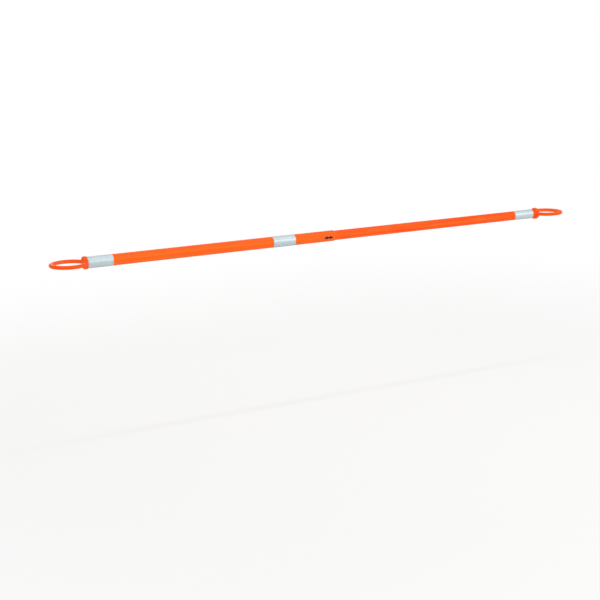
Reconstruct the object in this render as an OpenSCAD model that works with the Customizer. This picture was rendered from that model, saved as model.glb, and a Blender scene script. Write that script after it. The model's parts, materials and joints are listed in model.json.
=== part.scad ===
// Telescoping cone bar: two tubes, a ring end at each side, an eccentric twist lock inside.
// Origin at the centre of the fixed ring, +X along the bar to the sliding end, +Z up.
// Drawn pulled right out and locked, with both rings lying level.

/* [Overall] */
// Length from ring edge to ring edge, pulled right out
overall_length = 2134; // [1900:1:2400]

/* [Ring ends] */
// Bore of each ring, which drops over a cone
ring_bore_d = 102; // [95:1:130]
// Width of the ring's flat section, from its bore to its outer edge
ring_width = 15.4; // [14:0.2:20]
// Height of the ring's section, which is full round at its outer edge
ring_height = 13; // [8:0.5:14]
// Depth of the flat land round the inside of the ring
ring_land_depth = 0.6; // [0.4:0.1:1]
// How far the flange disc stands out past the outer tube
flange_lip = 2.25; // [1:0.25:5]
// Thickness of the flange on the bar's axis, from its saddle to the tube
flange_t = 10.7; // [8:0.1:14]
// Depth of the flange at its rim, from the tips beside the saddle to the tube
flange_depth = 13.5; // [11:0.5:16]
// Rounding of the flange's two rims
flange_round = 2; // [1:0.25:3]
// Set-back of the flange's saddle from the ring's bore
saddle_setback = 0.8; // [0.5:0.1:2]
// Length of the spigot inside the tube
spigot_length = 58; // [45:1:60]
// Length of the full round land at the root of a spigot or plug
root_land = 5; // [3:0.5:8]
// Wall of the spigot's hollow core
spigot_wall = 3; // [2:0.25:4]
// Number of ribs round a spigot or plug
rib_count = 8; // [4:2:12]
// Height of a rib above the core
rib_height = 2; // [1:0.25:3]
// Width of a rib
rib_width = 3; // [2:0.25:4]
// Lead chamfer at the end of a spigot or plug
lead_chamfer = 1.2; // [0.6:0.1:1.6]

/* [Outer tube] */
// Outside diameter of the outer tube
outer_od = 40; // [36:0.5:46]
// Wall of the outer tube
outer_wall = 1.2; // [1:0.1:1.6]
// Length of the outer tube
outer_length = 941; // [800:0.5:1000]

/* [Inner tube] */
// Gap between the two tubes, on the radius
tube_gap = 1.05; // [0.95:0.05:1.5]
// Wall of the inner tube
inner_wall = 1.2; // [1:0.1:1.6]

/* [Adaptor bush] */
// Number of lengthwise slots
adaptor_slots = 3; // [2:1:6]
// Width of a slot
adaptor_slot_w = 3; // [2:0.5:5]
// Length of the unslotted collar next to the flange
adaptor_collar = 12; // [8:1:18]

/* [Mouth bush] */
// Length of the sleeve inside the outer tube
mouth_sleeve = 30; // [20:1:45]
// Length of the lip outside the tube's end
mouth_lip = 8; // [6:0.5:12]
// Length of the straight part of the lip
mouth_straight = 3; // [2:0.25:4]
// Thickness of the rounded nose's edge
nose_edge = 0.9; // [0.6:0.1:1.1]
// Lead chamfer round the mouth
mouth_chamfer = 0.5; // [0.3:0.1:0.5]

/* [Twist lock] */
// Width of the glide ring
glide_width = 10; // [8:0.5:14]
// Wall of the glide ring
glide_wall = 2.6; // [2.2:0.1:3.2]
// Width of the split in the glide ring
glide_split = 4; // [2:0.5:6]
// Chamfer on the glide ring's outer edges
glide_chamfer = 0.3; // [0.2:0.05:0.4]
// Length of the lock plug inside the inner tube
plug_length = 40; // [35:1:55]
// Thickness of the plug's solid floor
plug_floor = 5; // [4:0.5:8]
// Thickness of the shoulder between glide ring and cam
shoulder_t = 3; // [2:0.25:5]
// Diameter of the eccentric journal
journal_d = 14; // [12:0.5:16]
// Offset of the journal from the bar's axis
journal_throw = 0.8; // [0.6:0.05:1]
// Twist between locked and free
twist_angle = 60; // [45:1:75]
// Length of the cam ring
cam_length = 14; // [12:0.5:20]
// Width of the slit through the cam ring's thin side
cam_slit = 2.5; // [1.5:0.5:4]
// Number of grip grooves round the cam ring
grip_count = 2; // [1:1:3]
// Width of a grip groove
grip_width = 1.6; // [1:0.2:2]
// Depth of a grip groove
grip_depth = 0.7; // [0.4:0.1:1]
// Diameter of the cored holes in the cam ring's thick side
core_hole_d = 4.5; // [3:0.5:5]
// Angle between neighbouring cored holes
core_hole_step = 45; // [40:1:60]
// How far the washer stands out past the journal
washer_lip = 7; // [6:0.5:8]
// Thickness of the washer
washer_t = 1.6; // [1:0.1:2.5]
// Diameter of the screw's shank
screw_d = 5; // [4:0.5:6]
// Length of the screw's shank
screw_length = 16; // [12:1:17]
// Diameter of the screw's head
screw_head_d = 9.5; // [8:0.5:11]
// Height of the screw's head
screw_head_h = 3.2; // [2.5:0.1:4]
// Width of the cross recess in the screw's head
recess_w = 1.4; // [1:0.1:1.6]

/* [Spring pins] */
// Diameter of a spring pin
pin_d = 4; // [3:0.5:5]
// Wall of a spring pin
pin_wall = 0.8; // [0.6:0.1:1]
// Width of the slot along a spring pin
pin_slot = 0.8; // [0.5:0.1:1]
// How far a pin's ends lie below the tube's surface
pin_inset = 0.4; // [0.3:0.1:0.5]
// Distance of the pin from the flange or the tube's end
pin_setback = 28; // [24:1:30]

/* [Reflective bands] */
// Width of a band along the bar
band_width = 89; // [70:1:110]
// Thickness of the sheeting
band_t = 0.25; // [0.15:0.05:0.4]
// Length of the lap where a band's ends meet
band_lap = 14; // [8:1:20]
// Direction of the lap round the bar, from the front over the top
band_lap_angle = 200; // [150:5:240]
// Gap between the first band and the flange
left_band_gap = 0.5; // [0.2:0.1:3]
// Distance of the middle band from the outer tube's end
middle_band_setback = 157; // [100:1:250]
// Distance of the right band from the sliding end's flange
right_band_setback = 14; // [8:1:25]

/* [Fits] */
// Fit gap of plugs and bushes in tubes, on the radius
fit_gap = 0.05; // [0.02:0.01:0.1]
// Running gap of journal and groove, on the radius
run_gap = 0.05; // [0.02:0.01:0.1]
// Running gap of the glide ring in the outer tube, on the radius
glide_gap = 0.1; // [0.05:0.01:0.1]
// Gap between the mouth bush and the inner tube, on the radius
mouth_gap = 0.3; // [0.25:0.05:0.4]
// Least gap between the cam ring and the outer tube, locked
lock_gap = 0.1; // [0.08:0.01:0.15]
// End play of glide ring and cam ring, at each face
end_play = 0.2; // [0.1:0.05:0.4]
// Gap between the glide ring and the mouth bush, pulled right out
stop_gap = 0.05; // [0.02:0.01:0.1]
// Film of adhesive under the sheeting
adhesive_t = 0.05; // [0.03:0.01:0.1]

/* [Hidden] */
$fn = 96;
eps = 0.5;

ring_r = ring_bore_d / 2;
ring_outer_r = ring_r + ring_width;
ring_in_r = ring_r + ring_height / 2 - ring_land_depth;
ring_out_r = ring_outer_r - ring_height / 2;
ring_spacing = overall_length - 2 * ring_outer_r;

outer_id = outer_od - 2 * outer_wall;
inner_od = outer_id - 2 * tube_gap;
inner_id = inner_od - 2 * inner_wall;

flange_d = outer_od + 2 * flange_lip;
saddle_r = ring_r + saddle_setback;
flange_x1 = saddle_r + flange_t;
flange_x0 = flange_x1 - flange_depth;

spigot_d = inner_id - 2 * fit_gap;
core_d = spigot_d - 2 * rib_height;
core_bore_d = core_d - 2 * spigot_wall;

tube_end = flange_x1 + outer_length;
mouth_end = tube_end + mouth_lip;
mouth_bore_d = inner_od + 2 * mouth_gap;
sleeve_d = outer_id - 2 * fit_gap;
sleeve_x0 = tube_end - mouth_sleeve;
nose_steps = 6;

glide_od = outer_id - 2 * glide_gap;
glide_id = glide_od - 2 * glide_wall;
glide_x1 = sleeve_x0 - stop_gap;
glide_x0 = glide_x1 - glide_width;
groove_d = glide_id - 2 * run_gap;
groove_x0 = glide_x0 - end_play;
inner_x0 = glide_x1 + end_play;
inner_x1 = ring_spacing - flange_x1;

shoulder_x0 = groove_x0 - shoulder_t;
cam_x0 = shoulder_x0 - end_play - cam_length;
journal_x0 = cam_x0 - end_play;
washer_x0 = journal_x0 - washer_t;
washer_d = journal_d + 2 * washer_lip;

// Locked, the cam ring's axis lies straight above the bar's axis; free, it lies on it.
lock_rise = 2 * journal_throw * sin(twist_angle / 2);
cam_r = outer_id / 2 - lock_gap - lock_rise;
journal_angle = twist_angle / 2;
thin_angle = -twist_angle / 2;
recess_depth = screw_head_h / 2;

lap_bite = band_t / 2;
band_left_x = flange_x1 + left_band_gap;
band_middle_x = tube_end - middle_band_setback - band_width;
band_right_x = inner_x1 - right_band_setback - band_width;

orange_tube = "#ff6a28";
orange_moulding = "#ff5510";
sheeting = "#d5e3e8";
nylon = "#e9e6dc";
steel = "#b9bdc1";
dark_polymer = "#3a3c3e";

function arc(centre, radius, from, to, steps = 8) =
    [for (i = [0:steps]) let (a = from + (to - from) * i / steps) centre + radius * [cos(a), sin(a)]];

// Lays a shape that is drawn along +Z along the bar instead, starting at x.
module along_bar(x) {
    translate([x, 0, 0])
        rotate([0, 90, 0])
            children();
}

module pipe(od, id, length) {
    difference() {
        cylinder(d = od, h = length);
        translate([0, 0, -eps])
            cylinder(d = id, h = length + 2 * eps);
    }
}

// A cross hole or a pin's space, upright through the bar's axis at x.
module cross_hole(x, length) {
    translate([x, 0, 0])
        cylinder(d = pin_d, h = length, center = true, $fn = 48);
}

// Ribbed plug of full diameter spigot_d at its root, its ribs and its lead.
module ribbed_plug(length) {
    intersection() {
        rotate_extrude()
            polygon([
                [0, 0],
                [spigot_d / 2, 0],
                [spigot_d / 2, length - lead_chamfer],
                [spigot_d / 2 - lead_chamfer, length],
                [0, length]
            ]);
        union() {
            cylinder(d = core_d, h = length);
            cylinder(d = spigot_d + eps, h = root_land);
            for (i = [0:rib_count - 1])
                rotate([0, 0, i * 360 / rib_count])
                    translate([0, -rib_width / 2, 0])
                        cube([spigot_d, rib_width, length]);
        }
    }
}

// Flat ring with full round edges, the inner one cut back to a narrow land.
module ring_hoop() {
    rotate_extrude($fn = 180)
        intersection() {
            union() {
                translate([ring_in_r, 0])
                    circle(d = ring_height, $fn = 64);
                translate([ring_out_r, 0])
                    circle(d = ring_height, $fn = 64);
                translate([ring_in_r, -ring_height / 2])
                    square([ring_out_r - ring_in_r, ring_height]);
            }
            translate([ring_r, -ring_height])
                square([ring_width + eps, 2 * ring_height]);
        }
}

module flange_disc() {
    r = flange_d / 2;
    difference() {
        along_bar(flange_x0)
            rotate_extrude()
                polygon(concat(
                    [[0, 0]],
                    arc([r - flange_round, flange_round], flange_round, -90, 0),
                    arc([r - flange_round, flange_depth - flange_round], flange_round, 0, 90),
                    [[0, flange_depth]]
                ));
        cylinder(r = saddle_r, h = flange_d + eps, center = true, $fn = 180);
    }
}

// One moulding for both ends: ring, flange disc and hollow ribbed spigot.
module ring_end() {
    color(orange_moulding)
        difference() {
            union() {
                difference() {
                    union() {
                        ring_hoop();
                        flange_disc();
                    }
                    along_bar(flange_x1)
                        cylinder(d = flange_d + eps, h = ring_width);
                }
                along_bar(flange_x1)
                    ribbed_plug(spigot_length);
            }
            along_bar(flange_x1)
                cylinder(d = core_bore_d, h = spigot_length + eps);
            cross_hole(flange_x1 + pin_setback, flange_d);
        }
}

module fixed_ring_end() {
    ring_end();
}

module sliding_ring_end() {
    translate([ring_spacing, 0, 0])
        rotate([0, 0, 180])
            ring_end();
}

// Sleeve that makes up the spigot to the outer tube's bore.
module adaptor_bush() {
    color(nylon)
        difference() {
            along_bar(flange_x1)
                pipe(sleeve_d, spigot_d + 2 * fit_gap, spigot_length);
            for (i = [0:adaptor_slots - 1])
                rotate([i * 360 / adaptor_slots, 0, 0])
                    translate([flange_x1 + adaptor_collar, 0, -adaptor_slot_w / 2])
                        cube([spigot_length, outer_od, adaptor_slot_w]);
            cross_hole(flange_x1 + pin_setback, outer_od);
        }
}

module outer_tube() {
    color(orange_tube)
        difference() {
            along_bar(flange_x1)
                pipe(outer_od, outer_id, outer_length);
            cross_hole(flange_x1 + pin_setback, outer_od + 2 * eps);
        }
}

// Guide for the inner tube: a thin sleeve with a rounded, tapering nose.
module mouth_bush() {
    bore_r = mouth_bore_d / 2;
    nose_r = bore_r + mouth_chamfer + nose_edge;
    lip_r = outer_od / 2;
    nose_x = tube_end + mouth_straight;
    nose = [for (i = [0:nose_steps]) let (a = 90 * i / nose_steps)
        [nose_r + (lip_r - nose_r) * cos(a), nose_x + (mouth_end - nose_x) * sin(a)]];
    color(orange_tube)
        along_bar(0)
            rotate_extrude()
                polygon(concat(
                    [[bore_r, sleeve_x0], [sleeve_d / 2, sleeve_x0]],
                    [[sleeve_d / 2, tube_end], [lip_r, tube_end]],
                    nose,
                    [[bore_r + mouth_chamfer, mouth_end], [bore_r, mouth_end - mouth_chamfer]]
                ));
}

module glide_ring() {
    color(nylon)
        difference() {
            along_bar(glide_x0)
                rotate_extrude()
                    polygon([
                        [glide_id / 2, 0],
                        [glide_od / 2 - glide_chamfer, 0],
                        [glide_od / 2, glide_chamfer],
                        [glide_od / 2, glide_width - glide_chamfer],
                        [glide_od / 2 - glide_chamfer, glide_width],
                        [glide_id / 2, glide_width]
                    ]);
            translate([glide_x0 - eps, -glide_split / 2, -glide_od])
                cube([glide_width + 2 * eps, glide_split, glide_od]);
        }
}

module inner_tube() {
    color(orange_tube)
        difference() {
            along_bar(inner_x0)
                pipe(inner_od, inner_id, inner_x1 - inner_x0);
            cross_hole(inner_x0 + pin_setback, inner_od + 2 * eps);
            cross_hole(inner_x1 - pin_setback, inner_od + 2 * eps);
        }
}

// Moves to the journal's axis, which lies off the bar's axis.
module on_journal() {
    translate([0, journal_throw * cos(journal_angle), journal_throw * sin(journal_angle)])
        children();
}

// Plug in the inner tube's end: ribbed body, groove for the glide ring, shoulder and journal.
module lock_plug() {
    color(nylon)
        difference() {
            union() {
                along_bar(inner_x0)
                    ribbed_plug(plug_length);
                along_bar(groove_x0)
                    cylinder(d = groove_d, h = inner_x0 - groove_x0);
                along_bar(shoulder_x0)
                    cylinder(d = inner_od, h = shoulder_t);
                on_journal()
                    along_bar(journal_x0)
                        cylinder(d = journal_d, h = shoulder_x0 - journal_x0);
            }
            along_bar(inner_x0 + plug_floor)
                cylinder(d = core_bore_d, h = plug_length);
            on_journal()
                along_bar(journal_x0 - eps)
                    cylinder(d = screw_d, h = screw_length - washer_t + eps);
            cross_hole(inner_x0 + pin_setback, inner_od);
        }
}

// Eccentric ring that the turning journal pushes against the outer tube.
module lock_cam() {
    color(dark_polymer)
        difference() {
            translate([0, 0, lock_rise])
                along_bar(cam_x0)
                    difference() {
                        cylinder(r = cam_r, h = cam_length);
                        for (i = [1:grip_count])
                            translate([0, 0, i * cam_length / (grip_count + 1) - grip_width / 2])
                                pipe(2 * cam_r + eps, 2 * (cam_r - grip_depth), grip_width);
                    }
            on_journal() {
                along_bar(cam_x0 - eps)
                    cylinder(d = journal_d + 2 * run_gap, h = cam_length + 2 * eps);
                rotate([thin_angle, 0, 0]) {
                    translate([cam_x0 - eps, 0, -cam_slit / 2])
                        cube([cam_length + 2 * eps, outer_od, cam_slit]);
                    for (i = [-1:1])
                        rotate([180 + i * core_hole_step, 0, 0])
                            translate([0, (journal_d / 2 + cam_r) / 2, 0])
                                along_bar(cam_x0 - eps)
                                    cylinder(d = core_hole_d, h = cam_length + 2 * eps, $fn = 32);
                }
            }
        }
}

module cam_washer() {
    color(steel)
        on_journal()
            along_bar(washer_x0)
                pipe(washer_d, screw_d + 2 * fit_gap, washer_t);
}

module cam_screw() {
    color(steel)
        on_journal()
            difference() {
                union() {
                    along_bar(washer_x0)
                        cylinder(d = screw_d, h = screw_length);
                    along_bar(washer_x0 - screw_head_h)
                        cylinder(d = screw_head_d, h = screw_head_h);
                }
                for (turn = [0, 90])
                    rotate([turn, 0, 0])
                        translate([washer_x0 - screw_head_h - eps, -screw_d / 2, -recess_w / 2])
                            cube([recess_depth + eps, screw_d, recess_w]);
            }
}

// Slotted spring pin across the bar at x, its ends just below the tube's surface.
module spring_pin(x, tube_d) {
    length = tube_d - 2 * pin_inset;
    color(steel)
        translate([x, 0, -length / 2])
            difference() {
                pipe(pin_d, pin_d - 2 * pin_wall, length);
                translate([0, -pin_slot / 2, -eps])
                    cube([pin_d, pin_slot, length + 2 * eps]);
            }
}

module fixed_end_pin() {
    spring_pin(flange_x1 + pin_setback, outer_od);
}

module lock_plug_pin() {
    spring_pin(inner_x0 + pin_setback, inner_od);
}

module sliding_end_pin() {
    spring_pin(inner_x1 - pin_setback, inner_od);
}

// Reflective sheeting wrapped once round a tube, with a lap.
module band(x, tube_d) {
    inside_r = tube_d / 2 + adhesive_t;
    outside_r = inside_r + band_t;
    color(sheeting)
        rotate([180 - band_lap_angle, 0, 0])
            along_bar(x) {
                pipe(2 * outside_r, 2 * inside_r, band_width);
                rotate([0, 0, 90])
                    rotate_extrude(angle = band_lap * 360 / (2 * PI * outside_r))
                        translate([outside_r - lap_bite, 0])
                            square([lap_bite + band_t, band_width]);
            }
}

module left_band() {
    band(band_left_x, outer_od);
}

module middle_band() {
    band(band_middle_x, outer_od);
}

module right_band() {
    band(band_right_x, inner_od);
}

fixed_ring_end();
adaptor_bush();
fixed_end_pin();
outer_tube();
mouth_bush();
left_band();
middle_band();
glide_ring();
inner_tube();
lock_plug();
lock_plug_pin();
lock_cam();
cam_washer();
cam_screw();
sliding_ring_end();
sliding_end_pin();
right_band();
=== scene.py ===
"""Cone bar: the finishes of its pieces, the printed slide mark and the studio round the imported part."""

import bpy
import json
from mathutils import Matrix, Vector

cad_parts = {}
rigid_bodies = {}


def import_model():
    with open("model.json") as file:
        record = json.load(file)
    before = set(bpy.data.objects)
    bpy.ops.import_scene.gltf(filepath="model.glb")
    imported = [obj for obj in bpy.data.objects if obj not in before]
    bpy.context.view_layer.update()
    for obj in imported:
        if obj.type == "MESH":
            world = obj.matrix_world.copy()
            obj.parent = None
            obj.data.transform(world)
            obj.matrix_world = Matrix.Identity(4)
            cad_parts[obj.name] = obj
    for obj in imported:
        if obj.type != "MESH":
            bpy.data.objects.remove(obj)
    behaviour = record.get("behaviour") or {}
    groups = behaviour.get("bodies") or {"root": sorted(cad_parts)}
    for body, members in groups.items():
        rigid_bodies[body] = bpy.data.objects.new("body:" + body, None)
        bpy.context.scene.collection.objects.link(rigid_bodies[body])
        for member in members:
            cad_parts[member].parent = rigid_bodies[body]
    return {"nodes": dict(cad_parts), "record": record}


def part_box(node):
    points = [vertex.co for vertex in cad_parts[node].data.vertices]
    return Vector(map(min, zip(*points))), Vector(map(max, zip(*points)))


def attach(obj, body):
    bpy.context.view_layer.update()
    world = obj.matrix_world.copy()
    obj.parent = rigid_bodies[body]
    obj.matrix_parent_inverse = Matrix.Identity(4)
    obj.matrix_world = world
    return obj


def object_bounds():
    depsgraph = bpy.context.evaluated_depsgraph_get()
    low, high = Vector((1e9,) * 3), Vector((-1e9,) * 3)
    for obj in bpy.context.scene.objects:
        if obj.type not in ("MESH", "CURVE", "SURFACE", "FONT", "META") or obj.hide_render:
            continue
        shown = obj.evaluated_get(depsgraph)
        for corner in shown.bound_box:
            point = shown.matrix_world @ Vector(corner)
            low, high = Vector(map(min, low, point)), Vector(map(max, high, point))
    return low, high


bl_info = {
    "name": "Cone Bar Finishes",
    "version": (1, 0, 0),
    "blender": (4, 5, 0),
    "location": "View3D > Sidebar > Cone Bar",
    "description": "Gives a telescoping cone bar its plastics, sheeting, printed mark and studio",
    "category": "Object",
}

import json
import math

import bmesh
import bpy
from bpy.props import FloatProperty, FloatVectorProperty, PointerProperty
from mathutils import Matrix, Vector

for startup_object in list(bpy.data.objects):
    bpy.data.objects.remove(startup_object)

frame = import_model()
CAD_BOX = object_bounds()

MM = 0.001
RING_BORE_MM = 2 * frame["record"]["mounts"][0]["dims"]["r_mm"]

# refractive indices of the plastics and the ink
VINYL_IOR = 1.53
POLYPROPYLENE_IOR = 1.49
ACRYLIC_IOR = 1.49
NYLON_IOR = 1.53
ACETAL_IOR = 1.48
INK_IOR = 1.5

# specular level of plastic that weather has dulled, where 0.5 is clean plastic
DULLED_SPECULAR = 0.12

# patterns that both kinds of orange moulding share
CHALK_SPECK = 2.4 * MM
GRAIN_DEPTH = 0.15 * MM

# the floor, in metres: half its width, and where the share that takes the shadow starts to fade and ends
FLOOR_HALF = 30.0
SHADOW_NEAR = 1.0
SHADOW_FAR = 3.4

# the camera's sensor in millimetres, and how far it sees in metres
SENSOR_WIDTH = 36.0
VIEW_DEPTH = 200.0

# sockets of the Mix node when it mixes colours
MIX_FACTOR, MIX_A, MIX_B, MIX_RESULT = 0, 6, 7, 2


def linear(code):
    """Turns an sRGB hex colour into linear red, green, blue and alpha."""
    parts = [int(code[i:i + 2], 16) / 255 for i in (1, 3, 5)]
    return tuple(p / 12.92 if p <= 0.04045 else ((p + 0.055) / 1.055) ** 2.4 for p in parts) + (1.0,)


def colour_property(name, description, code):
    """A colour that a user can change, with an sRGB hex default."""
    return FloatVectorProperty(
        name=name, description=description, subtype="COLOR", size=4, min=0.0, max=1.0,
        default=linear(code),
    )


def length_property(name, description, millimetres):
    """A length that a user can change, with a default in millimetres."""
    return FloatProperty(
        name=name, description=description, unit="LENGTH", min=0.0, precision=5,
        default=millimetres * MM,
    )


class ConeBarFinish(bpy.types.PropertyGroup):
    """Colours and pattern sizes of the bar's finishes."""

    outer_colour: colour_property("Outer tube", "Body colour of the larger tube", "#ff6212")
    inner_colour: colour_property("Inner tube", "Body colour of the smaller tube", "#ff5000")
    streak_colour: colour_property("Tube streaks", "Paler lengthwise streaks in the tubes", "#ff721c")
    rub_colour: colour_property("Rub lines", "Fine pale lines where the tubes slide", "#ff9a66")
    moulding_colour: colour_property("Moulding", "Body colour of the ring ends", "#ff5300")
    moulding_flow_colour: colour_property("Moulding flow", "Paler swirls in the ring ends", "#ff6010")
    wear_colour: colour_property("Worn plastic", "Chalky colour of rubbed rims and edges", "#ff8a50")
    sheeting_colour: colour_property("Sheeting", "Prismatic sheeting between its seal lines", "#c2d0d4")
    steep_colour: colour_property("Steep sheeting", "Tint of the sheeting seen at a steep angle", "#404040")
    seal_colour: colour_property("Seal lines", "Welded lattice in the sheeting", "#d3dbdd")
    grime_colour: colour_property("Grime", "Road dust along the sheeting's edges", "#8d9293")
    nylon_colour: colour_property("Nylon", "Natural nylon of the bushes and plug", "#e9e6dc")
    cam_colour: colour_property("Cam", "Dark acetal of the lock's cam ring", "#3a3c3e")
    steel_colour: colour_property("Steel", "Zinc plate on the pins, washer and screw", "#b9bdc1")
    ink_colour: colour_property("Ink", "Ink of the slide mark", "#1c1310")

    streak_width: length_property("Streak width", "Width of the tubes' lengthwise streaks", 7.0)
    streak_length: length_property("Streak length", "Length of the tubes' lengthwise streaks", 700.0)
    die_line: length_property("Die line", "Spacing of the fine lines left by the extrusion die", 1.4)
    mould_grain: length_property("Mould grain", "Grain of the spark-eroded mould", 0.9)
    parting_line: length_property("Parting line", "Half width of the line between mould halves", 0.5)
    ring_bore: length_property("Ring bore", "Bore of the ring ends, where they rub", RING_BORE_MM)
    prism_cell: length_property("Sheeting cell", "Side of the sheeting's sealed diamonds", 8.0)
    mark_length: length_property("Mark length", "Slide mark, tip to tip", 39.0)
    mark_height: length_property("Mark height", "Slide mark across its arrow heads", 14.0)
    mark_shaft: length_property("Mark shaft", "Thickness of the slide mark's shaft", 6.0)
    mark_start: length_property("Mark start", "Slide mark's left tip, from the left ring's middle", 963.0)
    mark_drop: length_property("Mark drop", "How far round the tube the mark sits under its front", 2.8)


class ConeBarStage(bpy.types.PropertyGroup):
    """Floor, lamps and camera."""

    floor_drop: length_property("Floor drop", "Height of the bar's axis over the floor", 650.0)
    sky_strength: FloatProperty(
        name="Ambient", description="Strength of the even light all round", min=0.0, default=0.66,
    )
    key_power: FloatProperty(
        name="Key", description="Power of the soft box beside the camera",
        unit="POWER", min=0.0, default=76.0,
    )
    top_power: FloatProperty(
        name="Top", description="Power of the long strip lamp over the bar",
        unit="POWER", min=0.0, default=10.0,
    )
    fill_power: FloatProperty(
        name="Fill", description="Power of the low soft box off the left end",
        unit="POWER", min=0.0, default=24.0,
    )
    back_power: FloatProperty(
        name="Back", description="Power of the soft box behind the bar",
        unit="POWER", min=0.0, default=30.0,
    )
    camera_place: FloatVectorProperty(
        name="Camera place", description="Where the camera stands", subtype="TRANSLATION", unit="LENGTH",
        default=(-1.0858, -3.8952, 0.7432),
    )
    camera_turn: FloatVectorProperty(
        name="Camera turn", description="Camera's heading from +Y towards +X, its dip and its roll",
        subtype="EULER", unit="ROTATION",
        default=(math.radians(26.619), math.radians(12.577), math.radians(-1.460)),
    )
    camera_lens: FloatProperty(
        name="Lens", description="Focal length on a 36 mm sensor",
        unit="CAMERA", min=1.0, default=72.0,
    )


def add(tree, kind, settings, sockets):
    """Adds a node, sets its options, and fills or links its sockets."""
    made = tree.nodes.new(kind)
    for option, value in settings.items():
        setattr(made, option, value)
    for socket, value in sockets.items():
        if isinstance(value, bpy.types.NodeSocket):
            tree.links.new(value, made.inputs[socket])
        else:
            made.inputs[socket].default_value = value
    return made


def new_material(name):
    """A material with an empty node tree; returns both."""
    material = bpy.data.materials.new(name)
    material.use_nodes = True
    material.node_tree.nodes.clear()
    return material, material.node_tree


def paint(material, *names):
    """Puts a material on CAD nodes."""
    for name in names:
        if name not in frame["nodes"]:
            raise RuntimeError(f"the packed part has no node named {name}")
        mesh = frame["nodes"][name].data
        mesh.materials.clear()
        mesh.materials.append(material)


def extruded_orange(finish, name, body_colour, rub):
    """Rigid vinyl tube, extruded and sized in a die, with fluorescent orange pigment.

    The die leaves long streaks of slightly paler colour and fine lengthwise lines, which stretch the soft
    highlight along the tube. A tube that slides is rubbed along its length, in patches.
    """
    cloud_size = 90 * MM
    rub_length = 220 * MM
    rub_width = 1.4 * MM
    rub_patch = 55 * MM
    die_line_length = 400 * MM
    die_line_depth = 0.12 * MM
    material, tree = new_material(name)
    place = add(tree, "ShaderNodeTexCoord", {}, {}).outputs["Object"]
    streak_place = add(tree, "ShaderNodeVectorMath", {"operation": "MULTIPLY"}, {
        0: place, 1: (1 / finish.streak_length, 1 / finish.streak_width, 1 / finish.streak_width)})
    streaks = add(tree, "ShaderNodeTexNoise", {}, {
        "Vector": streak_place.outputs[0], "Scale": 1.0, "Detail": 3.0, "Roughness": 0.55})
    streak_share = add(tree, "ShaderNodeMapRange", {}, {
        "Value": streaks.outputs[0], "From Min": 0.42, "From Max": 0.68, "To Min": 0.0, "To Max": 0.6})
    streaked = add(tree, "ShaderNodeMix", {"data_type": "RGBA"}, {
        MIX_FACTOR: streak_share.outputs[0], MIX_A: body_colour, MIX_B: finish.streak_colour})

    # pigment clouds, a hand's breadth across
    clouds = add(tree, "ShaderNodeTexNoise", {}, {"Vector": place, "Scale": 1 / cloud_size, "Detail": 2.0})
    cloud_tone = add(tree, "ShaderNodeMapRange", {}, {
        "Value": clouds.outputs[0], "From Min": 0.3, "From Max": 0.7, "To Min": 0.95, "To Max": 1.04})
    clouded = add(tree, "ShaderNodeVectorMath", {"operation": "SCALE"}, {
        0: streaked.outputs[MIX_RESULT], "Scale": cloud_tone.outputs[0]})

    # rub lines on such a tube are a third of a millimetre wide, and drawn four times that so that they show
    rub_place = add(tree, "ShaderNodeVectorMath", {"operation": "MULTIPLY"}, {
        0: place, 1: (1 / rub_length, 1 / rub_width, 1 / rub_width)})
    rub_noise = add(tree, "ShaderNodeTexNoise", {}, {
        "Vector": rub_place.outputs[0], "Scale": 1.0, "Detail": 1.0})
    rub_lines = add(tree, "ShaderNodeMapRange", {"interpolation_type": "SMOOTHSTEP"}, {
        "Value": rub_noise.outputs[0], "From Min": 0.60, "From Max": 0.70, "To Min": 0.0, "To Max": rub})
    rub_patches = add(tree, "ShaderNodeTexNoise", {}, {
        "Vector": place, "Scale": 1 / rub_patch, "Detail": 1.0})
    rub_here = add(tree, "ShaderNodeMapRange", {"interpolation_type": "SMOOTHSTEP"}, {
        "Value": rub_patches.outputs[0], "From Min": 0.45, "From Max": 0.62})
    rubbed = add(tree, "ShaderNodeMath", {"operation": "MULTIPLY"}, {
        0: rub_lines.outputs[0], 1: rub_here.outputs[0]})
    coloured = add(tree, "ShaderNodeMix", {"data_type": "RGBA"}, {
        MIX_FACTOR: rubbed.outputs[0], MIX_A: clouded.outputs[0], MIX_B: finish.rub_colour})

    # die lines on such a tube lie a quarter of a millimetre apart, and are drawn coarser so that they show
    die_place = add(tree, "ShaderNodeVectorMath", {"operation": "MULTIPLY"}, {
        0: place, 1: (1 / die_line_length, 1 / finish.die_line, 1 / finish.die_line)})
    die_lines = add(tree, "ShaderNodeTexNoise", {}, {
        "Vector": die_place.outputs[0], "Scale": 1.0, "Detail": 2.0})
    bump = add(tree, "ShaderNodeBump", {}, {
        "Height": die_lines.outputs[0], "Strength": 0.35, "Distance": die_line_depth})
    rough = add(tree, "ShaderNodeMapRange", {}, {
        "Value": streaks.outputs[0], "From Min": 0.3, "From Max": 0.7, "To Min": 0.40, "To Max": 0.50})
    rougher = add(tree, "ShaderNodeMath", {"operation": "MULTIPLY_ADD"}, {
        0: rubbed.outputs[0], 1: 0.15, 2: rough.outputs[0]})

    shader = add(tree, "ShaderNodeBsdfPrincipled", {}, {
        "Base Color": coloured.outputs[MIX_RESULT],
        "Roughness": rougher.outputs[0],
        "Normal": bump.outputs[0],
        "IOR": VINYL_IOR,
        "Specular IOR Level": DULLED_SPECULAR,
    })
    add(tree, "ShaderNodeOutputMaterial", {}, {"Surface": shader.outputs[0]})
    return material


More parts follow.
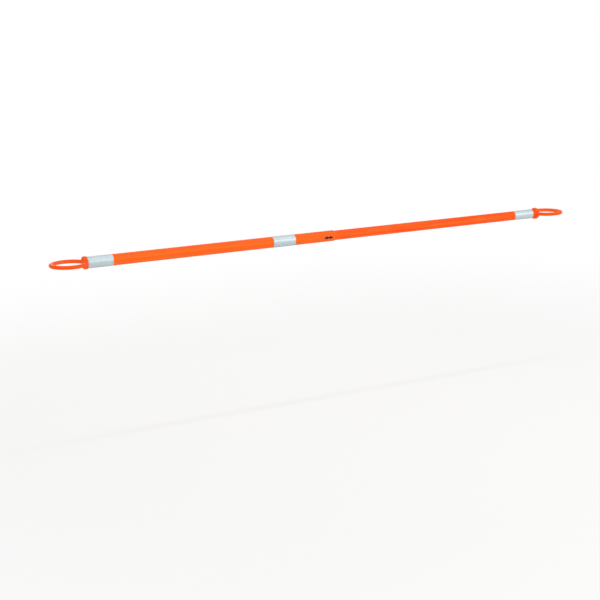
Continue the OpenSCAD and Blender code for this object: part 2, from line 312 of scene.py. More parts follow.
def moulded_orange(finish, name, ring_x, bar_side):
    """Polypropylene, injection moulded in a spark-eroded mould, with fluorescent orange pigment.

    It is a deeper orange than the tubes, satin with a fine grain, with faint flow swirls and a parting line
    where the mould's halves met. The ring's inner land is scuffed round its length, the flange's rounded
    edges are chalky where they knock, and painted shade darkens the corner between ring and flange. ring_x
    is the ring's middle along the bar, and bar_side is 1 or -1, towards the bar.
    """
    swirl_size = 28 * MM
    land_reach = 1.8 * MM
    scuff_length = 9 * MM
    scuff_height = 0.8 * MM
    edge_round = 2 * MM
    rim_slack = 0.1 * MM
    rim_fade = 0.5 * MM
    flange_start = 0.4 * finish.ring_bore
    corner_reach = 9 * MM
    parting_height = 0.25 * MM
    material, tree = new_material(name)
    coordinates = add(tree, "ShaderNodeTexCoord", {}, {})
    place = coordinates.outputs["Object"]
    flow = add(tree, "ShaderNodeTexNoise", {}, {
        "Vector": place, "Scale": 1 / swirl_size, "Detail": 3.0, "Distortion": 0.8})
    flow_share = add(tree, "ShaderNodeMapRange", {}, {
        "Value": flow.outputs[0], "From Min": 0.42, "From Max": 0.70, "To Min": 0.0, "To Max": 0.7})
    swirled = add(tree, "ShaderNodeMix", {"data_type": "RGBA"}, {
        MIX_FACTOR: flow_share.outputs[0],
        MIX_A: finish.moulding_colour, MIX_B: finish.moulding_flow_colour})

    # distance from the ring's upright axis, which is least on the ring's inner land
    from_ring = add(tree, "ShaderNodeVectorMath", {"operation": "SUBTRACT"}, {
        0: place, 1: (ring_x, 0.0, 0.0)})
    flat = add(tree, "ShaderNodeVectorMath", {"operation": "MULTIPLY"}, {
        0: from_ring.outputs[0], 1: (1.0, 1.0, 0.0)})
    ring_distance = add(tree, "ShaderNodeVectorMath", {"operation": "LENGTH"}, {0: flat.outputs[0]})
    land = add(tree, "ShaderNodeMapRange", {"interpolation_type": "SMOOTHSTEP"}, {
        "Value": ring_distance.outputs["Value"],
        "From Min": finish.ring_bore / 2 + land_reach, "From Max": finish.ring_bore / 2})

    # scuffs are a fifth of a millimetre high on such a land, and drawn four times that so that they show
    scuff_place = add(tree, "ShaderNodeVectorMath", {"operation": "MULTIPLY"}, {
        0: place, 1: (1 / scuff_length, 1 / scuff_length, 1 / scuff_height)})
    scuffs = add(tree, "ShaderNodeTexNoise", {}, {
        "Vector": scuff_place.outputs[0], "Scale": 1.0, "Detail": 2.0})
    scuff_share = add(tree, "ShaderNodeMapRange", {"interpolation_type": "SMOOTHSTEP"}, {
        "Value": scuffs.outputs[0], "From Min": 0.44, "From Max": 0.70, "To Min": 0.08, "To Max": 0.6})
    land_wear = add(tree, "ShaderNodeMath", {"operation": "MULTIPLY"}, {
        0: land.outputs[0], 1: scuff_share.outputs[0]})

    # the flange's rounded edges lie just inside its rim, where the surface turns along the bar
    across = add(tree, "ShaderNodeVectorMath", {"operation": "MULTIPLY"}, {0: place, 1: (0.0, 1.0, 1.0)})
    bar_distance = add(tree, "ShaderNodeVectorMath", {"operation": "LENGTH"}, {0: across.outputs[0]})
    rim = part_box("fixed_ring_end")[1].z
    near_rim = add(tree, "ShaderNodeMapRange", {"interpolation_type": "SMOOTHSTEP"}, {
        "Value": bar_distance.outputs["Value"],
        "From Min": rim - edge_round, "From Max": rim - edge_round / 2})
    past_rim = add(tree, "ShaderNodeMapRange", {"interpolation_type": "SMOOTHSTEP"}, {
        "Value": bar_distance.outputs["Value"],
        "From Min": rim + rim_slack + rim_fade, "From Max": rim + rim_slack})
    rim_band = add(tree, "ShaderNodeMath", {"operation": "MULTIPLY"}, {
        0: near_rim.outputs[0], 1: past_rim.outputs[0]})
    along = add(tree, "ShaderNodeVectorMath", {"operation": "DOT_PRODUCT"}, {
        0: from_ring.outputs[0], 1: (bar_side, 0.0, 0.0)})
    beside_bar = add(tree, "ShaderNodeMath", {"operation": "GREATER_THAN"}, {
        0: along.outputs["Value"], 1: flange_start})
    facing = add(tree, "ShaderNodeSeparateXYZ", {}, {0: coordinates.outputs["Normal"]})
    endward = add(tree, "ShaderNodeMath", {"operation": "ABSOLUTE"}, {0: facing.outputs["X"]})
    rounded = add(tree, "ShaderNodeMapRange", {"interpolation_type": "SMOOTHSTEP"}, {
        "Value": endward.outputs[0], "From Min": 0.15, "From Max": 0.5})
    edge = add(tree, "ShaderNodeMath", {"operation": "MULTIPLY"}, {
        0: rounded.outputs[0], 1: beside_bar.outputs[0]})
    knocked = add(tree, "ShaderNodeMath", {"operation": "MULTIPLY"}, {
        0: edge.outputs[0], 1: rim_band.outputs[0]})
    specks = add(tree, "ShaderNodeTexNoise", {}, {"Vector": place, "Scale": 1 / CHALK_SPECK, "Detail": 3.0})
    speck_share = add(tree, "ShaderNodeMapRange", {"interpolation_type": "SMOOTHSTEP"}, {
        "Value": specks.outputs[0], "From Min": 0.40, "From Max": 0.66, "To Min": 0.1, "To Max": 0.7})
    edge_wear = add(tree, "ShaderNodeMath", {"operation": "MULTIPLY"}, {
        0: knocked.outputs[0], 1: speck_share.outputs[0]})
    wear = add(tree, "ShaderNodeMath", {"operation": "MAXIMUM"}, {
        0: land_wear.outputs[0], 1: edge_wear.outputs[0]})

    # the halves of the mould met level with the bar's axis, and left a line that is drawn twice as wide.
    # Its paler colour is partly the chalky worn colour and partly a painted highlight along the ridge
    level = add(tree, "ShaderNodeSeparateXYZ", {}, {0: place})
    off_level = add(tree, "ShaderNodeMath", {"operation": "ABSOLUTE"}, {0: level.outputs["Z"]})
    parting = add(tree, "ShaderNodeMapRange", {"interpolation_type": "SMOOTHSTEP"}, {
        "Value": off_level.outputs[0],
        "From Min": finish.parting_line, "From Max": finish.parting_line / 4})
    pale_share = add(tree, "ShaderNodeMath", {"operation": "MULTIPLY_ADD"}, {
        0: parting.outputs[0], 1: 0.2, 2: wear.outputs[0]})
    worn = add(tree, "ShaderNodeMix", {"data_type": "RGBA"}, {
        MIX_FACTOR: pale_share.outputs[0], MIX_A: swirled.outputs[MIX_RESULT], MIX_B: finish.wear_colour})

    # painted shade: ambient occlusion darkens the colour in the corner between ring and flange
    corners = add(tree, "ShaderNodeAmbientOcclusion", {"samples": 8, "only_local": True}, {
        "Distance": corner_reach})
    painted_corner_shade = add(tree, "ShaderNodeMapRange", {}, {
        "Value": corners.outputs["AO"], "From Min": 0.2, "From Max": 0.8, "To Min": 0.86, "To Max": 1.0})
    dusted_and_shaded = add(tree, "ShaderNodeVectorMath", {"operation": "SCALE"}, {
        0: worn.outputs[MIX_RESULT], "Scale": painted_corner_shade.outputs[0]})

    # a spark-eroded mould's grain is a tenth of this, and drawn coarser so that it shows
    grain = add(tree, "ShaderNodeTexNoise", {}, {
        "Vector": place, "Scale": 1 / finish.mould_grain, "Detail": 2.0})
    bump = add(tree, "ShaderNodeBump", {}, {
        "Height": grain.outputs[0], "Strength": 0.3, "Distance": GRAIN_DEPTH})
    parted = add(tree, "ShaderNodeBump", {}, {
        "Height": parting.outputs[0], "Strength": 0.6, "Distance": parting_height,
        "Normal": bump.outputs[0]})
    rough = add(tree, "ShaderNodeMapRange", {}, {
        "Value": flow.outputs[0], "From Min": 0.3, "From Max": 0.7, "To Min": 0.42, "To Max": 0.54})
    rougher = add(tree, "ShaderNodeMath", {"operation": "MULTIPLY_ADD"}, {
        0: wear.outputs[0], 1: 0.2, 2: rough.outputs[0]})

    shader = add(tree, "ShaderNodeBsdfPrincipled", {}, {
        "Base Color": dusted_and_shaded.outputs[0],
        "Roughness": rougher.outputs[0],
        "Normal": parted.outputs[0],
        "IOR": POLYPROPYLENE_IOR,
        "Specular IOR Level": DULLED_SPECULAR,
    })
    add(tree, "ShaderNodeOutputMaterial", {}, {"Surface": shader.outputs[0]})
    return material


def moulded_vinyl(finish):
    """Vinyl, injection moulded in a spark-eroded mould, pigmented to match the outer tube.

    It is satin, with no streaks. Dust draws a dark line at the seam against the tube's end, and the nose is
    rubbed pale round its edge.
    """
    cloud_size = 14 * MM
    nose_reach = 2.5 * MM
    seam_width = 0.5 * MM
    material, tree = new_material("orange vinyl, moulded")
    place = add(tree, "ShaderNodeTexCoord", {}, {}).outputs["Object"]
    axes = add(tree, "ShaderNodeSeparateXYZ", {}, {0: place})
    clouds = add(tree, "ShaderNodeTexNoise", {}, {"Vector": place, "Scale": 1 / cloud_size, "Detail": 3.0})
    cloud_share = add(tree, "ShaderNodeMapRange", {}, {
        "Value": clouds.outputs[0], "From Min": 0.3, "From Max": 0.7, "To Min": 0.1, "To Max": 0.5})
    clouded = add(tree, "ShaderNodeMix", {"data_type": "RGBA"}, {
        MIX_FACTOR: cloud_share.outputs[0], MIX_A: finish.outer_colour, MIX_B: finish.streak_colour})

    nose_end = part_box("mouth_bush")[1].x
    nose = add(tree, "ShaderNodeMapRange", {"interpolation_type": "SMOOTHSTEP"}, {
        "Value": axes.outputs["X"], "From Min": nose_end - nose_reach, "From Max": nose_end})
    specks = add(tree, "ShaderNodeTexNoise", {}, {"Vector": place, "Scale": 1 / CHALK_SPECK, "Detail": 3.0})
    speck_share = add(tree, "ShaderNodeMapRange", {"interpolation_type": "SMOOTHSTEP"}, {
        "Value": specks.outputs[0], "From Min": 0.40, "From Max": 0.66, "To Min": 0.1, "To Max": 0.6})
    rubbed = add(tree, "ShaderNodeMath", {"operation": "MULTIPLY"}, {
        0: nose.outputs[0], 1: speck_share.outputs[0]})
    worn = add(tree, "ShaderNodeMix", {"data_type": "RGBA"}, {
        MIX_FACTOR: rubbed.outputs[0], MIX_A: clouded.outputs[MIX_RESULT], MIX_B: finish.rub_colour})

    # such a seam holds a hairline of dust, drawn wider so that it shows
    tube_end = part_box("outer_tube")[1].x
    seam_tone = add(tree, "ShaderNodeMapRange", {"interpolation_type": "SMOOTHSTEP"}, {
        "Value": axes.outputs["X"],
        "From Min": tube_end + seam_width, "From Max": tube_end + 2 * seam_width,
        "To Min": 0.66, "To Max": 1.0})
    dusted_and_shaded = add(tree, "ShaderNodeVectorMath", {"operation": "SCALE"}, {
        0: worn.outputs[MIX_RESULT], "Scale": seam_tone.outputs[0]})

    # the same mould grain as the ring ends', drawn as coarse
    grain = add(tree, "ShaderNodeTexNoise", {}, {
        "Vector": place, "Scale": 1 / finish.mould_grain, "Detail": 2.0})
    bump = add(tree, "ShaderNodeBump", {}, {
        "Height": grain.outputs[0], "Strength": 0.3, "Distance": GRAIN_DEPTH})
    rough = add(tree, "ShaderNodeMapRange", {}, {
        "Value": clouds.outputs[0], "From Min": 0.3, "From Max": 0.7, "To Min": 0.42, "To Max": 0.52})
    rougher = add(tree, "ShaderNodeMath", {"operation": "MULTIPLY_ADD"}, {
        0: rubbed.outputs[0], 1: 0.15, 2: rough.outputs[0]})

    shader = add(tree, "ShaderNodeBsdfPrincipled", {}, {
        "Base Color": dusted_and_shaded.outputs[0],
        "Roughness": rougher.outputs[0],
        "Normal": bump.outputs[0],
        "IOR": VINYL_IOR,
        "Specular IOR Level": DULLED_SPECULAR,
    })
    add(tree, "ShaderNodeOutputMaterial", {}, {"Surface": shader.outputs[0]})
    return material


def prismatic_sheeting(finish, name, radius):
    """Retroreflective sheeting: moulded prisms in clear acrylic, sealed to a white back in diamonds.

    The prisms give it a cool silver white that is brightest where it faces the light and greys at a steep
    angle, where they stop throwing it back. The seal lines are plain white, each sealed diamond is a shade
    off its neighbours, and dust gathers along the cut edges.
    radius is that of the wrap.
    """
    speck_size = 6 * MM
    seal_depth = 0.1 * MM
    # shares of a diamond's side, from the middle of a seal line to where it is plain and where it ends
    seal_plain = 0.04
    seal_end = 0.10
    # share of the band's width that gathers dust
    grime_reach = 0.035
    material, tree = new_material(name)
    coordinates = add(tree, "ShaderNodeTexCoord", {}, {})
    place = coordinates.outputs["Object"]
    axes = add(tree, "ShaderNodeSeparateXYZ", {}, {0: place})
    front = add(tree, "ShaderNodeMath", {"operation": "MULTIPLY"}, {0: axes.outputs["Y"], 1: -1.0})
    angle = add(tree, "ShaderNodeMath", {"operation": "ARCTAN2"}, {
        0: axes.outputs["Z"], 1: front.outputs[0]})

    # a whole number of diamonds goes round the tube
    cells_round = round(2 * math.pi * radius / finish.prism_cell)
    round_cells = add(tree, "ShaderNodeMath", {"operation": "MULTIPLY"}, {
        0: angle.outputs[0], 1: cells_round / (2 * math.pi)})
    long_cells = add(tree, "ShaderNodeMath", {"operation": "MULTIPLY"}, {
        0: axes.outputs["X"], 1: 1 / finish.prism_cell})
    rising = add(tree, "ShaderNodeMath", {"operation": "ADD"}, {
        0: long_cells.outputs[0], 1: round_cells.outputs[0]})
    falling = add(tree, "ShaderNodeMath", {"operation": "SUBTRACT"}, {
        0: long_cells.outputs[0], 1: round_cells.outputs[0]})
    rising_gap = add(tree, "ShaderNodeMath", {"operation": "PINGPONG"}, {0: rising.outputs[0], 1: 0.5})
    falling_gap = add(tree, "ShaderNodeMath", {"operation": "PINGPONG"}, {0: falling.outputs[0], 1: 0.5})
    gap = add(tree, "ShaderNodeMath", {"operation": "MINIMUM"}, {
        0: rising_gap.outputs[0], 1: falling_gap.outputs[0]})
    seal = add(tree, "ShaderNodeMapRange", {"interpolation_type": "SMOOTHSTEP"}, {
        "Value": gap.outputs[0],
        "From Min": seal_end, "From Max": seal_plain, "To Min": 0.0, "To Max": 0.8})

    rising_cell = add(tree, "ShaderNodeMath", {"operation": "FLOOR"}, {0: rising.outputs[0]})
    falling_cell = add(tree, "ShaderNodeMath", {"operation": "FLOOR"}, {0: falling.outputs[0]})
    cell = add(tree, "ShaderNodeCombineXYZ", {}, {0: rising_cell.outputs[0], 1: falling_cell.outputs[0]})
    chance = add(tree, "ShaderNodeTexWhiteNoise", {"noise_dimensions": "2D"}, {"Vector": cell.outputs[0]})
    cell_tone = add(tree, "ShaderNodeMapRange", {}, {
        "Value": chance.outputs["Value"], "To Min": 0.93, "To Max": 1.05})
    prisms = add(tree, "ShaderNodeVectorMath", {"operation": "SCALE"}, {
        0: finish.sheeting_colour[:3], "Scale": cell_tone.outputs[0]})
    sealed = add(tree, "ShaderNodeMix", {"data_type": "RGBA"}, {
        MIX_FACTOR: seal.outputs[0], MIX_A: prisms.outputs[0], MIX_B: finish.seal_colour})

    # share of the band's width in from its nearer cut edge
    own = add(tree, "ShaderNodeSeparateXYZ", {}, {0: coordinates.outputs["Generated"]})
    inward = add(tree, "ShaderNodeMath", {"operation": "PINGPONG"}, {0: own.outputs["X"], 1: 0.5})
    edge = add(tree, "ShaderNodeMapRange", {"interpolation_type": "SMOOTHSTEP"}, {
        "Value": inward.outputs[0],
        "From Min": grime_reach, "From Max": 0.0, "To Min": 0.0, "To Max": 0.8})
    specks = add(tree, "ShaderNodeTexNoise", {}, {"Vector": place, "Scale": 1 / speck_size, "Detail": 5.0})
    speck_share = add(tree, "ShaderNodeMapRange", {}, {
        "Value": specks.outputs[0], "From Min": 0.35, "From Max": 0.7, "To Min": 0.1, "To Max": 1.0})
    grime = add(tree, "ShaderNodeMath", {"operation": "MULTIPLY"}, {
        0: edge.outputs[0], 1: speck_share.outputs[0]})
    coloured = add(tree, "ShaderNodeMix", {"data_type": "RGBA"}, {
        MIX_FACTOR: grime.outputs[0], MIX_A: sealed.outputs[MIX_RESULT], MIX_B: finish.grime_colour})

    height = add(tree, "ShaderNodeMath", {"operation": "SUBTRACT"}, {0: 1.0, 1: seal.outputs[0]})
    bump = add(tree, "ShaderNodeBump", {}, {
        "Height": height.outputs[0], "Strength": 0.25, "Distance": seal_depth})
    rough = add(tree, "ShaderNodeMapRange", {}, {
        "Value": specks.outputs[0], "From Min": 0.3, "From Max": 0.7, "To Min": 0.48, "To Max": 0.58})
    metallic = add(tree, "ShaderNodeMapRange", {}, {
        "Value": seal.outputs[0], "To Min": 0.6, "To Max": 0.35})

    shader = add(tree, "ShaderNodeBsdfPrincipled", {}, {
        "Base Color": coloured.outputs[MIX_RESULT],
        "Metallic": metallic.outputs[0],
        "Roughness": rough.outputs[0],
        "Normal": bump.outputs[0],
        "IOR": ACRYLIC_IOR,
        "Specular Tint": finish.steep_colour,
        "Coat Weight": 0.08,
        "Coat Roughness": 0.25,
        "Coat IOR": ACRYLIC_IOR,
    })
    add(tree, "ShaderNodeOutputMaterial", {}, {"Surface": shader.outputs[0]})
    return material


def natural_nylon(finish):
    """Nylon, injection moulded without pigment: a warm waxy white that light enters a little."""
    cloud_size = 12 * MM
    grain_depth = 0.1 * MM
    light_depth = 2 * MM
    material, tree = new_material("natural nylon, moulded")
    place = add(tree, "ShaderNodeTexCoord", {}, {}).outputs["Object"]
    clouds = add(tree, "ShaderNodeTexNoise", {}, {"Vector": place, "Scale": 1 / cloud_size, "Detail": 3.0})
    tone = add(tree, "ShaderNodeMapRange", {}, {
        "Value": clouds.outputs[0], "From Min": 0.3, "From Max": 0.7, "To Min": 0.9, "To Max": 1.0})
    coloured = add(tree, "ShaderNodeVectorMath", {"operation": "SCALE"}, {
        0: finish.nylon_colour[:3], "Scale": tone.outputs[0]})
    rough = add(tree, "ShaderNodeMapRange", {}, {
        "Value": clouds.outputs[0], "To Min": 0.38, "To Max": 0.58})

    # the same mould grain as the ring ends', drawn as coarse
    grain = add(tree, "ShaderNodeTexNoise", {}, {"Vector": place, "Scale": 1 / finish.mould_grain})
    bump = add(tree, "ShaderNodeBump", {}, {
        "Height": grain.outputs[0], "Strength": 0.25, "Distance": grain_depth})
    shader = add(tree, "ShaderNodeBsdfPrincipled", {}, {
        "Base Color": coloured.outputs[0],
        "Roughness": rough.outputs[0],
        "Normal": bump.outputs[0],
        "IOR": NYLON_IOR,
        "Subsurface Weight": 0.15,
        "Subsurface Scale": light_depth,
    })
    add(tree, "ShaderNodeOutputMaterial", {}, {"Surface": shader.outputs[0]})
    return material


def dark_acetal(finish):
    """Acetal with carbon black, injection moulded: slippery dark grey, polished in rings where it jams."""
    rub_width = 0.8 * MM
    rub_length = 40 * MM
    rub_depth = 0.05 * MM
    material, tree = new_material("dark acetal, moulded")
    place = add(tree, "ShaderNodeTexCoord", {}, {}).outputs["Object"]

    # polished rings on such a cam are a quarter of this in width, and drawn coarser so that they show
    round_place = add(tree, "ShaderNodeVectorMath", {"operation": "MULTIPLY"}, {
        0: place, 1: (1 / rub_width, 1 / rub_length, 1 / rub_length)})
    rings = add(tree, "ShaderNodeTexNoise", {}, {"Vector": round_place.outputs[0], "Scale": 1.0})
    tone = add(tree, "ShaderNodeMapRange", {}, {
        "Value": rings.outputs[0], "From Min": 0.3, "From Max": 0.7, "To Min": 0.8, "To Max": 1.3})
    coloured = add(tree, "ShaderNodeVectorMath", {"operation": "SCALE"}, {
        0: finish.cam_colour[:3], "Scale": tone.outputs[0]})
    rough = add(tree, "ShaderNodeMapRange", {}, {"Value": rings.outputs[0], "To Min": 0.25, "To Max": 0.55})
    bump = add(tree, "ShaderNodeBump", {}, {
        "Height": rings.outputs[0], "Strength": 0.3, "Distance": rub_depth})
    shader = add(tree, "ShaderNodeBsdfPrincipled", {}, {
        "Base Color": coloured.outputs[0],
        "Roughness": rough.outputs[0],
        "Normal": bump.outputs[0],
        "IOR": ACETAL_IOR,
    })
    add(tree, "ShaderNodeOutputMaterial", {}, {"Surface": shader.outputs[0]})
    return material


def zinc_steel(finish):
    """Steel with bright zinc plate: grey with faint blooms, rougher where the plate has dulled."""
    bloom_size = 2.5 * MM
    bloom_depth = 0.05 * MM
    material, tree = new_material("zinc plated steel")
    place = add(tree, "ShaderNodeTexCoord", {}, {}).outputs["Object"]
    blooms = add(tree, "ShaderNodeTexNoise", {}, {"Vector": place, "Scale": 1 / bloom_size, "Detail": 3.0})
    tone = add(tree, "ShaderNodeMapRange", {}, {
        "Value": blooms.outputs[0], "From Min": 0.3, "From Max": 0.7, "To Min": 0.85, "To Max": 1.08})
    coloured = add(tree, "ShaderNodeVectorMath", {"operation": "SCALE"}, {
        0: finish.steel_colour[:3], "Scale": tone.outputs[0]})
    rough = add(tree, "ShaderNodeMapRange", {}, {"Value": blooms.outputs[0], "To Min": 0.25, "To Max": 0.5})
    bump = add(tree, "ShaderNodeBump", {}, {
        "Height": blooms.outputs[0], "Strength": 0.15, "Distance": bloom_depth})
    shader = add(tree, "ShaderNodeBsdfPrincipled", {}, {
        "Base Color": coloured.outputs[0],
        "Metallic": 1.0,
        "Roughness": rough.outputs[0],
        "Normal": bump.outputs[0],
    })
    add(tree, "ShaderNodeOutputMaterial", {}, {"Surface": shader.outputs[0]})
    return material


def printed_ink(finish):
    """Pad-printed black ink: a thin matt film, with pinholes where the tube shows through."""
    pinhole_size = 0.8 * MM
    material, tree = new_material("black ink, pad printed")
    place = add(tree, "ShaderNodeTexCoord", {}, {}).outputs["Object"]

    # pinholes in such a print are a quarter of this, and drawn coarser so that they show
    specks = add(tree, "ShaderNodeTexNoise", {}, {
        "Vector": place, "Scale": 1 / pinhole_size, "Detail": 2.0})
    holes = add(tree, "ShaderNodeMapRange", {"interpolation_type": "SMOOTHSTEP"}, {
        "Value": specks.outputs[0], "From Min": 0.66, "From Max": 0.74, "To Min": 0.0, "To Max": 0.8})
    coloured = add(tree, "ShaderNodeMix", {"data_type": "RGBA"}, {
        MIX_FACTOR: holes.outputs[0], MIX_A: finish.ink_colour, MIX_B: finish.outer_colour})
    rough = add(tree, "ShaderNodeMapRange", {}, {"Value": specks.outputs[0], "To Min": 0.4, "To Max": 0.6})
    shader = add(tree, "ShaderNodeBsdfPrincipled", {}, {
        "Base Color": coloured.outputs[MIX_RESULT],
        "Roughness": rough.outputs[0],
        "IOR": INK_IOR,
        "Specular IOR Level": 0.3,
    })
    add(tree, "ShaderNodeOutputMaterial", {}, {"Surface": shader.outputs[0]})
    return material


class CONEBAR_OT_tubes(bpy.types.Operator):
    """Finish the two extruded tubes and the bush in the outer one's mouth"""

    bl_idname = "cone_bar.tubes"
    bl_label = "Finish Tubes"

    def execute(self, context):
        finish = context.scene.cone_bar_finish
        outer = extruded_orange(finish, "orange vinyl, extruded", finish.outer_colour, rub=0.15)
        inner = extruded_orange(finish, "orange vinyl, extruded and rubbed", finish.inner_colour, rub=0.3)
        paint(outer, "outer_tube")
        paint(inner, "inner_tube")
        paint(moulded_vinyl(finish), "mouth_bush")
        return {"FINISHED"}


class CONEBAR_OT_ring_ends(bpy.types.Operator):
    """Finish the two moulded ring ends"""

    bl_idname = "cone_bar.ring_ends"
    bl_label = "Finish Ring Ends"

    def execute(self, context):
        finish = context.scene.cone_bar_finish
        fixed_name = "orange polypropylene, moulded, fixed end"
        sliding_name = "orange polypropylene, moulded, sliding end"

        # the rings are alike, so the far one's middle lies as far inside the box as the near one's
        low, high = CAD_BOX
        far_ring = high.x + low.x
        paint(moulded_orange(finish, fixed_name, ring_x=0.0, bar_side=1.0), "fixed_ring_end")
        paint(moulded_orange(finish, sliding_name, ring_x=far_ring, bar_side=-1.0), "sliding_ring_end")
        return {"FINISHED"}


class CONEBAR_OT_bands(bpy.types.Operator):
    """Finish the three wraps of reflective sheeting"""

    bl_idname = "cone_bar.bands"
    bl_label = "Finish Sheeting"

    def execute(self, context):
        finish = context.scene.cone_bar_finish
        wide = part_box("left_band")[1].z
        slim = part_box("right_band")[1].z
        outer_wrap = prismatic_sheeting(finish, "prismatic sheeting on the outer tube", wide)
        inner_wrap = prismatic_sheeting(finish, "prismatic sheeting on the inner tube", slim)
        paint(outer_wrap, "left_band", "middle_band")
        paint(inner_wrap, "right_band")
        return {"FINISHED"}


class CONEBAR_OT_lock(bpy.types.Operator):
    """Finish the lock and the other pieces inside the tubes"""

    bl_idname = "cone_bar.lock"
    bl_label = "Finish Lock"

    def execute(self, context):
        finish = context.scene.cone_bar_finish
        paint(natural_nylon(finish), "adaptor_bush", "glide_ring", "lock_plug")
        paint(dark_acetal(finish), "lock_cam")
        steel = zinc_steel(finish)
        paint(steel, "fixed_end_pin", "sliding_end_pin", "lock_plug_pin", "cam_washer", "cam_screw")
        return {"FINISHED"}


def arrow_outline(finish):
    """The slide mark's corners as (along, height) pairs, anticlockwise from its left tip."""
    head = finish.mark_height
    half = finish.mark_height / 2
    shaft = finish.mark_shaft / 2
    end = finish.mark_length
    return (
        (0.0, 0.0),
        (head, -half),
        (head, -shaft),
        (end - head, -shaft),
        (end - head, -half),
        (end, 0.0),
        (end - head, half),
        (end - head, shaft),
        (head, shaft),
        (head, half),
    )


class CONEBAR_OT_slide_mark(bpy.types.Operator):
    """Print a double arrow by the outer tube's mouth, as a thin film that follows the tube"""

    bl_idname = "cone_bar.slide_mark"
    bl_label = "Print Slide Mark"

    def execute(self, context):
        finish = context.scene.cone_bar_finish
        tube_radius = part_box("outer_tube")[1].z
        film = 0.04 * MM
        sink = 0.1 * MM
        pitch = 0.9 * MM
        weld = 0.001 * MM
        mesh = bmesh.new()
        corners = [mesh.verts.new((along, height, 0.0)) for along, height in arrow_outline(finish)]
        arrow = mesh.faces.new(corners)
        arrow.normal_update()
        bmesh.ops.triangulate(mesh, faces=[arrow])

        # cut into small facets, so that the flat arrow bends round the tube
        spans = ((0, 0.0, finish.mark_length), (1, -finish.mark_height / 2, finish.mark_height))
        for axis, start, size in spans:
            cuts = round(size / pitch)
            for i in range(1, cuts):
                point, normal = Vector(), Vector()
                point[axis] = start + size * i / cuts
                normal[axis] = 1.0
                bmesh.ops.bisect_plane(
                    mesh, geom=mesh.verts[:] + mesh.edges[:] + mesh.faces[:], dist=weld,
                    plane_co=point, plane_no=normal)
        reach = tube_radius + film
        for vert in mesh.verts:
            angle = (vert.co.y - finish.mark_drop) / tube_radius
            vert.co = (finish.mark_start + vert.co.x, -reach * math.cos(angle), reach * math.sin(angle))
        data = bpy.data.meshes.new("slide_mark")
        mesh.to_mesh(data)
        mesh.free()
        data.shade_smooth()
        mark = bpy.data.objects.new("slide_mark", data)
        context.scene.collection.objects.link(mark)
        thicken = mark.modifiers.new("film", "SOLIDIFY")
        thicken.thickness = film + sink
        thicken.offset = -1.0
        data.materials.append(printed_ink(finish))
        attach(mark, "fixed_part")
        return {"FINISHED"}


def aimed(place, target):
    """A matrix at place whose -Z looks at target."""
    turn = (Vector(target) - Vector(place)).to_track_quat("-Z", "Y")
    return Matrix.LocRotScale(Vector(place), turn, None)


def soft_box(context, name, place, target, size, power):
    """A rectangular area lamp, size metres wide and high, which the camera itself doesn't see."""
    lamp = bpy.data.lights.new(name, "AREA")
    lamp.shape = "RECTANGLE"
    lamp.size, lamp.size_y = size
    lamp.energy = power
    made = bpy.data.objects.new(name, lamp)
    context.scene.collection.objects.link(made)
    made.matrix_world = aimed(place, target)
    made.visible_camera = False


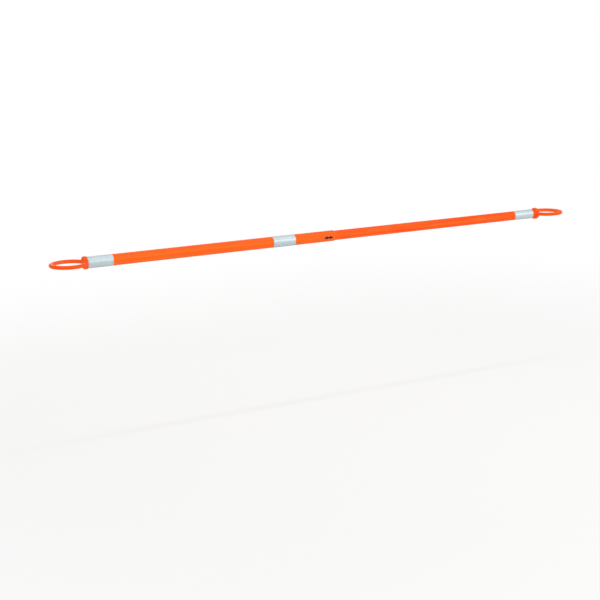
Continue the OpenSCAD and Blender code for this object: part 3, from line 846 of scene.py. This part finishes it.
class CONEBAR_OT_stage(bpy.types.Operator):
    """Lay the floor, hang the lamps and set up the camera"""

    bl_idname = "cone_bar.stage"
    bl_label = "Set Stage"

    def execute(self, context):
        stage = context.scene.cone_bar_stage
        scene = context.scene
        scene.view_settings.view_transform = "Standard"
        low, high = CAD_BOX
        middle = (low + high) / 2

        corners = ((-1, -1), (1, -1), (1, 1), (-1, 1))
        data = bpy.data.meshes.new("floor")
        data.from_pydata([(x * FLOOR_HALF, y * FLOOR_HALF, 0.0) for x, y in corners], [], [(0, 1, 2, 3)])
        floor = bpy.data.objects.new("floor", data)
        floor.location = (middle.x, middle.y, -stage.floor_drop)
        scene.collection.objects.link(floor)
        data.materials.append(self.floor_finish())
        self.sky(scene, stage)

        # name, place, aim, width and height, and power of each lamp
        near_ring = (0.0, 0.0, 0.0)
        lamps = (
            ("key", (3.2, -4.0, 1.9), middle, (4.2, 1.0), stage.key_power),
            ("fill", (-3.2, -2.4, 0.0), near_ring, (1.6, 1.2), stage.fill_power),
            ("back", (middle.x, 4.0, 1.6), middle, (1.6, 1.1), stage.back_power),
            ("top", (middle.x, -0.3, 2.2), middle, (3.4, 0.15), stage.top_power),
        )
        for lamp in lamps:
            soft_box(context, *lamp)

        lens = bpy.data.cameras.new("camera")
        lens.lens = stage.camera_lens
        lens.sensor_width = SENSOR_WIDTH
        lens.clip_end = VIEW_DEPTH
        camera = bpy.data.objects.new("camera", lens)
        scene.collection.objects.link(camera)
        heading, dip, roll = stage.camera_turn
        forward = Vector((
            math.sin(heading) * math.cos(dip), math.cos(heading) * math.cos(dip), -math.sin(dip)))
        right = Vector((math.cos(heading), -math.sin(heading), 0.0))
        up = right.cross(forward)
        across = math.cos(roll) * right + math.sin(roll) * up
        upward = -math.sin(roll) * right + math.cos(roll) * up
        turn = Matrix((across, upward, -forward)).transposed()
        camera.matrix_world = Matrix.LocRotScale(Vector(stage.camera_place), turn.to_quaternion(), None)
        scene.camera = camera
        return {"FINISHED"}

    def floor_finish(self):
        """Matt white studio floor: white to the camera, with a share near the bar that takes its shadow."""
        material, tree = new_material("white studio floor, matt")
        paper = add(tree, "ShaderNodeBsdfDiffuse", {}, {"Color": linear("#f2f2f0")})
        glow = add(tree, "ShaderNodeEmission", {}, {"Color": (1.0, 1.0, 1.0, 1.0), "Strength": 1.0})
        seen = self.seen_share(tree)
        place = add(tree, "ShaderNodeTexCoord", {}, {}).outputs["Object"]
        reach = add(tree, "ShaderNodeVectorMath", {"operation": "LENGTH"}, {0: place})
        fade = add(tree, "ShaderNodeMapRange", {"interpolation_type": "SMOOTHSTEP"}, {
            "Value": reach.outputs["Value"],
            "From Min": SHADOW_NEAR, "From Max": SHADOW_FAR, "To Min": 0.6, "To Max": 1.0})
        share = add(tree, "ShaderNodeMath", {"operation": "MULTIPLY"}, {0: seen, 1: fade.outputs[0]})
        mixed = add(tree, "ShaderNodeMixShader", {}, {
            0: share.outputs[0], 1: paper.outputs[0], 2: glow.outputs[0]})
        add(tree, "ShaderNodeOutputMaterial", {}, {"Surface": mixed.outputs[0]})
        return material

    def sky(self, scene, stage):
        """Even light all round, seen as white."""
        world = bpy.data.worlds.new("white studio")
        world.use_nodes = True
        tree = world.node_tree
        tree.nodes.clear()
        strength = add(tree, "ShaderNodeMapRange", {}, {
            "Value": self.seen_share(tree), "To Min": stage.sky_strength, "To Max": 1.0})
        light = add(tree, "ShaderNodeBackground", {}, {
            "Color": (1.0, 1.0, 1.0, 1.0), "Strength": strength.outputs[0]})
        add(tree, "ShaderNodeOutputWorld", {}, {"Surface": light.outputs[0]})
        scene.world = world

    def seen_share(self, tree):
        """1 for rays from the camera, or by way of gloss or glass, and 0 for the rest."""
        path = add(tree, "ShaderNodeLightPath", {}, {})
        glossy = add(tree, "ShaderNodeMath", {"operation": "MAXIMUM"}, {
            0: path.outputs["Is Camera Ray"], 1: path.outputs["Is Glossy Ray"]})
        seen = add(tree, "ShaderNodeMath", {"operation": "MAXIMUM"}, {
            0: glossy.outputs[0], 1: path.outputs["Is Transmission Ray"]})
        return seen.outputs[0]


OPERATORS = (
    CONEBAR_OT_tubes,
    CONEBAR_OT_ring_ends,
    CONEBAR_OT_bands,
    CONEBAR_OT_lock,
    CONEBAR_OT_slide_mark,
    CONEBAR_OT_stage,
)


class CONEBAR_PT_panel(bpy.types.Panel):
    """Sizes, colours and steps of the cone bar"""

    bl_idname = "CONEBAR_PT_panel"
    bl_label = "Cone Bar"
    bl_space_type = "VIEW_3D"
    bl_region_type = "UI"
    bl_category = "Cone Bar"

    def draw(self, context):
        for operator in OPERATORS:
            self.layout.operator(operator.bl_idname)
        for group in (context.scene.cone_bar_finish, context.scene.cone_bar_stage):
            box = self.layout.box()
            for name in type(group).__annotations__:
                box.prop(group, name)


CLASSES = (ConeBarFinish, ConeBarStage, *OPERATORS, CONEBAR_PT_panel)


def register():
    for each in CLASSES:
        bpy.utils.register_class(each)
    bpy.types.Scene.cone_bar_finish = PointerProperty(type=ConeBarFinish)
    bpy.types.Scene.cone_bar_stage = PointerProperty(type=ConeBarStage)


def unregister():
    del bpy.types.Scene.cone_bar_stage
    del bpy.types.Scene.cone_bar_finish
    for each in reversed(CLASSES):
        bpy.utils.unregister_class(each)


def main():
    register()
    bpy.ops.cone_bar.stage()
    bpy.ops.cone_bar.tubes()
    bpy.ops.cone_bar.ring_ends()
    bpy.ops.cone_bar.bands()
    bpy.ops.cone_bar.lock()
    bpy.ops.cone_bar.slide_mark()


if __name__ == "__main__":
    main()
